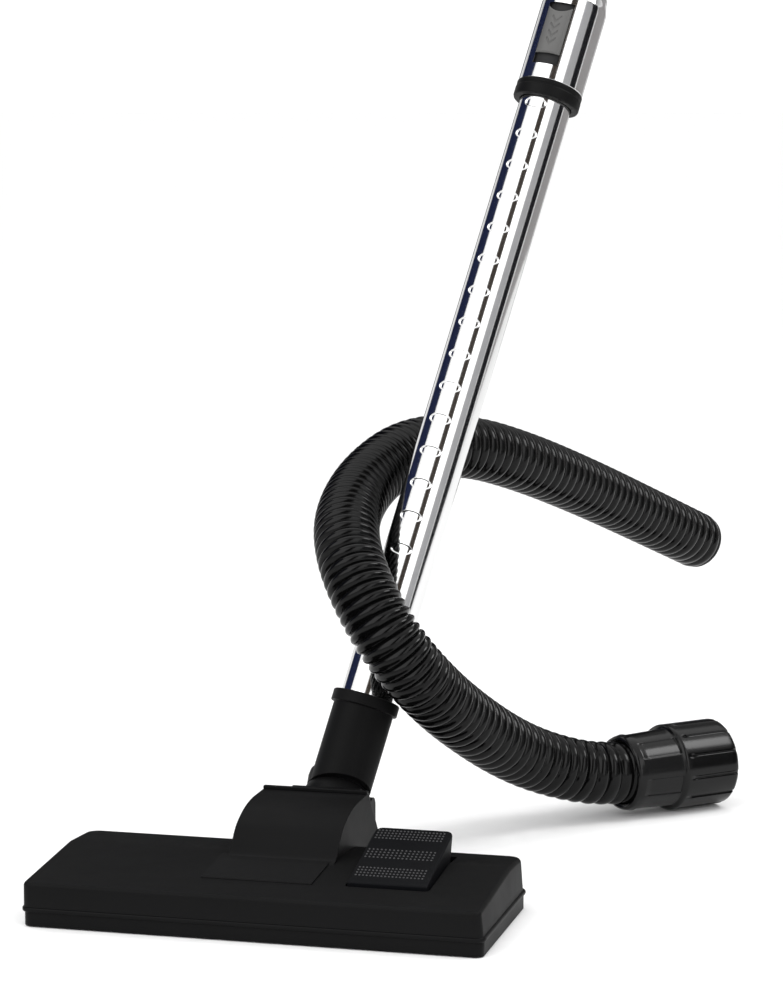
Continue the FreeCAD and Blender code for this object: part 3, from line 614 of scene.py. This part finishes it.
def make_outer_pieces():
    tube = lathe("tube_upper", [(16.8, 462), (17.4, 462), (17.4, 900), (16.8, 900)], wand_frame, 144)
    piece(tube, "outer", chrome, "chrome_tube", "outer_tube")

    window = math.degrees(math.asin(8.3 / 20.2))
    turns = list(np.linspace(window, 360 - window, 121)) + list(np.linspace(-window, window, 25))[1:-1]
    heights = [458, 458.4, 467, 507.4] + [510, 512, 513.5, 515, 517, 519, 520.5, 521.6, 522]
    radii = [20.0, 20.2, 20.2, 20.2] + [20.2, 20.1, 19.85, 19.5, 18.95, 18.5, 18.35, 18.3, 18.1]
    verts = []
    for height, radius in zip(heights, radii):
        for turn in turns:
            verts.append((radius * math.cos(math.radians(turn)), radius * math.sin(math.radians(turn)),
                          height))
    columns = len(turns)
    faces = []
    for i in range(len(heights) - 1):
        for j in range(columns):
            if heights[i] == 467 and j >= 120:
                continue
            a, b = i * columns + j, i * columns + (j + 1) % columns
            faces.append((a, b, b + columns, a + columns))
    sleeve = mesh_object("lock_sleeve_polished", verts, faces, wand_frame)
    finish_normals(sleeve.data, 40)
    solid = sleeve.modifiers.new("wall", "SOLIDIFY")
    solid.thickness = 0.7 * MM
    solid.offset = -1
    baked(sleeve)
    piece(sleeve, "outer", chrome, "chrome_tube", "lock_sleeve", sharp=40)

    ring = [(16.15, 448.6), (16.6, 447.6), (19.4, 447.5), (20.3, 447.9), (20.7, 448.9), (20.7, 453.6),
            (20.45, 454.1),
            (20.2, 454.4), (20.2, 455.0), (20.45, 455.3), (20.6, 455.7), (20.6, 457.2), (20.2, 457.9),
            (18.3, 458), (18.3, 462), (16.15, 462)]
    piece(lathe("sleeve_end_ring_grooved", ring, wand_frame, 144), "outer", black_satin, "black_satin",
          "sleeve_end_ring", sharp=40)
    bush = rounded([(15.0, 872), (16.75, 872), (16.75, 900), (18.0, 900), (18.0, 902), (15.0, 902)],
                   [0.3, 0, 0, 0.4, 0.8, 0.8])
    piece(lathe("tube_end_bush_round", bush, wand_frame, 128), "outer", black_satin, "black_satin",
          "tube_end_bush",
          sharp=40)


ARROW_CENTRES, ARROW_HALF, ARROW_SLOPE = (481.5, 486.3, 491.1, 495.9), 3.0, 1.15
BUTTON_UNDERSIDE = 19.4
POCKET_HALF, POCKET_LOW, POCKET_HIGH, POCKET_FACE = 5.2, 480.2, 494, 20.05


def chevron(y, z):
    """Depth of the four arrow grooves at a point on the button."""
    depth = 0
    for centre in ARROW_CENTRES:
        if abs(y) < ARROW_HALF:
            away = abs((z - centre) - ARROW_SLOPE * abs(y) + 1.5)
            depth = max(depth, 1 - smoothstep(0.35, 0.75, away * 0.75))
    return depth


def make_button():
    """A curved plate, hollowed underneath where the latch bar rises."""
    rows, columns = 90, 46
    low, high, half, radius = 474.0, 504.4, 7.7, 21.0
    outside, underside = [], []
    for i in range(rows):
        for j in range(columns):
            y = half * (2 * j / (columns - 1) - 1)
            top = high - 3.0 * (1 - (y / half) ** 2)
            z = low + (top - low) * i / (rows - 1)
            edge = min(half - abs(y), z - low, top - z)
            r = radius - 0.45 * chevron(y, z) - 0.5 * (1 - smoothstep(0, 0.9, edge))
            outside.append((math.sqrt(r * r - y * y), y, z))
            hollow = abs(y) < POCKET_HALF and POCKET_LOW < z < POCKET_HIGH
            underside.append((POCKET_FACE if hollow else math.sqrt(BUTTON_UNDERSIDE ** 2 - y * y), y, z))
    count = rows * columns
    faces = grid_faces(rows, columns)
    faces += [tuple(v + count for v in reversed(face)) for face in faces]
    rim = list(range(columns)) + [i * columns + columns - 1 for i in range(1, rows)]
    rim += [count - 1 - j for j in range(1, columns)] + [i * columns for i in range(rows - 2, 0, -1)]
    faces += [(a, b, b + count, a + count) for a, b in zip(rim, rim[1:] + rim[:1])]
    plate = mesh_object("slider_button_arrows", outside + underside, faces, wand_frame)
    return piece(plate, "button", button_grey, "dark_grey", "slider_button", sharp=50)


make_inner_tube()
make_outer_pieces()
make_button()


# ---------------------------------------------------------------- wheels and brushes
def make_wheels():
    for side, name in ((-1, "wheel_left"), (1, "wheel_right")):
        low, high = (-30.5, -24.0) if side < 0 else (24.0, 30.5)
        profile = rounded([(2.06, low), (4.2, low), (4.4, low + 0.8), (8.2, low + 0.8), (8.4, low), (10, low),
                           (10, high), (8.4, high), (8.2, high - 0.8), (4.4, high - 0.8), (4.2, high),
                           (2.06, high)],
                          [0.1, 0.2, 0.2, 0.2, 0.2, 0.9, 0.9, 0.2, 0.2, 0.2, 0.2, 0.1])
        wheel = lathe(name + "_tyre", profile, Matrix.Translation((0, 124, 10)) @ along_x, 72)
        piece(wheel, name, wheel_rubber, "wheel_rubber", name, sharp=35)


def make_brush(name, spans, y, *stands_for):
    verts, faces = [], []
    for x0, x1 in spans:
        count = int((x1 - x0) / 0.62)
        for row in range(5):
            for i in range(count):
                x = x0 + 0.4 + (x1 - x0 - 0.8) * i / (count - 1) + rng.uniform(-0.12, 0.12)
                at = y + (row - 2) * 0.55 + rng.uniform(-0.1, 0.1)
                tip = (x + rng.uniform(-0.35, 0.35), at + rng.uniform(-0.35, 0.35), 0.8 + rng.uniform(0, 0.5))
                first = len(verts)
                for centre, radius in (((x, at, 9.0), 0.2), (tip, 0.11)):
                    for dx, dy in ((1, 0), (-0.5, 0.87), (-0.5, -0.87)):
                        verts.append((centre[0] + dx * radius, centre[1] + dy * radius, centre[2]))
                a, b, c, d, e, f = range(first, first + 6)
                faces += [(a, b, e, d), (b, c, f, e), (c, a, d, f), (c, b, a), (d, e, f)]
    thing = mesh_object(name, verts, faces)
    return piece(thing, "brush", bristle, "bristle", *stands_for, sharp=80)


make_wheels()
make_brush("front_bristles", [(-111, 111)], -42.5, "front_brush")
make_brush("rear_bristles", [(-111, -30), (30, 111)], 17.5, "rear_brushes")


# ---------------------------------------------------------------- solids that are kept
KEPT = {
    "hump_rim": (black_satin, 0.4), "bumper_strip": (black_satin, 1.3), "lower_housing": (black_satin, 1.2),
    "sole_plate": (steel, 0.3), "lint_pickers": (velvet, 0.2), "case_screws": (spring_steel, 0.2),
    "air_duct": (dark_grey, 0.3), "duct_gasket": (rubber_strip, 0.2), "pedal_pin": (spring_steel, 0.2),
    "pedal_leaf_spring": (spring_steel, 0.1), "brush_carriage": (dark_grey, 0.3),
    "rear_cradle": (black_satin, 0.5),
    "ball_seal": (rubber_strip, 0.2), "trunnion_pins": (black_satin, 0.2), "wheel_axle": (spring_steel, 0.3),
    "tilt_ball": (black_satin, 0.2), "swivel_ring": (white_plastic, 0.1), "guide_bush": (white_plastic, 0.1),
    "sleeve_liner": (dark_grey, 0.1), "latch_bar": (spring_steel, 0.2), "latch_spring": (spring_steel, 0.1),
    "hose_end_bush": (dark_grey, 0.3), "cuff_insert": (dark_grey, 0.3)}

for node_name, (material, edge) in KEPT.items():
    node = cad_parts[node_name]
    node.data.materials.clear()
    node.data.materials.append(material)
    weld = node.modifiers.new("weld", "WELD")
    weld.merge_threshold = 0.00001
    rounding = node.modifiers.new("edges", "BEVEL")
    rounding.width = edge * MM
    rounding.segments = 3
    rounding.limit_method = "ANGLE"
    rounding.angle_limit = math.radians(50)
    rounding.harden_normals = True


# ---------------------------------------------------------------- studio
STUDIO_REACH, STUDIO_HEIGHT = 2100, 1900
FLOOR_REACH = 60000


def studio_place(turn):
    """Where a light or card stands so that the wand mirrors it at this angle round from the front."""
    middle = BALL + WAND * 300
    front = (Vector(CAMERA_AT) - middle).normalized()
    lean = -WAND.dot(front)
    out = (front - WAND * WAND.dot(front)).normalized()
    right = WAND.cross(out)
    turn = math.radians(turn)
    spoke = (out * math.cos(turn) + right * math.sin(turn)) * math.sqrt(1 - lean * lean) + WAND * lean
    return middle, middle + spoke * STUDIO_REACH


def facing_wand(thing, turn):
    middle, place = studio_place(turn)
    thing.matrix_world = frame_of(place * MM, WAND.cross(place - middle), place - middle)
    thing.visible_camera = False
    return thing


def width_for(low, high):
    return 2 * STUDIO_REACH * math.sin(math.radians(high - low) / 2)


def area_light(name, width, height, radiance):
    """A rectangular light, whose power follows from its radiance and its size in metres."""
    light = bpy.data.lights.new(name, "AREA")
    light.shape = "RECTANGLE"
    light.size, light.size_y = width, height
    light.energy = radiance * math.pi * light.size * light.size_y
    box = bpy.data.objects.new(name, light)
    bpy.context.scene.collection.objects.link(box)
    return box


def softbox(name, low, high, radiance):
    box = area_light(name, width_for(low, high) * MM, STUDIO_HEIGHT * MM, radiance)
    facing_wand(box, (low + high) / 2)


def top_softbox():
    """A smaller light above the hose cuff, for the gloss on its upper side."""
    box = area_light("softbox_top", 0.55, 0.5, 8)
    aim, toward = Vector((180, 325, 40)), Vector((0.6, 0.1, 0.79))
    box.matrix_world = frame_of((aim + toward * 1500) * MM, (1, 1, 0), toward)
    box.visible_camera = False


def flat_sheet(name, half, tall):
    corners = [(-half, -tall, 0), (half, -tall, 0), (half, tall, 0), (-half, tall, 0)]
    return mesh_object(name, corners, [(0, 1, 2, 3)])


def card(name, low, high, colour):
    """A matt card that only reflections see: it shades the chrome and leaves the floor plain."""
    thing = flat_sheet(name, width_for(low, high) / 2, STUDIO_HEIGHT / 2)
    material, tree, shader = shader_of(name)
    weave = noise_of(tree, object_coords(tree), 80)
    tint = ramp_of(tree, weave, [c * 0.95 for c in colour] + [1], [*colour, 1])
    tree.links.new(tint, shader.inputs["Base Color"])
    shader.inputs["Roughness"].default_value = 0.95
    shader.inputs["Specular IOR Level"].default_value = 0
    thing.data.materials.append(material)
    facing_wand(thing, (low + high) / 2)
    thing.visible_shadow = False
    thing.visible_diffuse = False


def make_studio():
    world = bpy.data.worlds.new("studio")
    world.use_nodes = True
    tree = world.node_tree
    split = tree.nodes.new("ShaderNodeSeparateXYZ")
    tree.links.new(tree.nodes.new("ShaderNodeTexCoord").outputs["Generated"], split.inputs[0])
    room = ramp_of(tree, split.outputs["Z"], grey(1), grey(0.16), 0.12, 0.5)
    tree.links.new(room, tree.nodes["Background"].inputs["Color"])
    tree.nodes["Background"].inputs["Strength"].default_value = 1.1
    bpy.context.scene.world = world

    floor = flat_sheet("floor", FLOOR_REACH, FLOOR_REACH)
    material, tree, shader = shader_of("floor_paper")
    paper = noise_of(tree, object_coords(tree), 60, 4.0)
    tree.links.new(ramp_of(tree, paper, grey(0.89), grey(0.92)), shader.inputs["Base Color"])
    shader.inputs["Roughness"].default_value = 0.9
    shader.inputs["Specular IOR Level"].default_value = 0.0
    floor.data.materials.append(material)
    floor.location.z = -0.0004

    lamp = bpy.data.lights.new("lamp", "SUN")
    lamp.energy = 2.7
    lamp.angle = math.radians(120)
    key = bpy.data.objects.new("lamp", lamp)
    key.rotation_euler = (math.radians(14), 0, math.radians(-20))
    bpy.context.scene.collection.objects.link(key)

    softbox("softbox_left", -72, -16, 1.35)
    softbox("softbox_right", 8, 34, 1.35)
    card("card_left", -132, -78, (0.012, 0.017, 0.05))
    card("card_middle", -15, 5, (0.05, 0.04, 0.033))
    card("card_half", 35, 62, (0.42, 0.42, 0.43))
    card("card_right", 64, 88, (0.012, 0.012, 0.014))
    card("card_side", 90, 155, (0.3, 0.29, 0.29))
    card("card_back", 162, 206, (0.05, 0.05, 0.055))
    top_softbox()
    bpy.context.scene.view_settings.view_transform = "Standard"


make_studio()
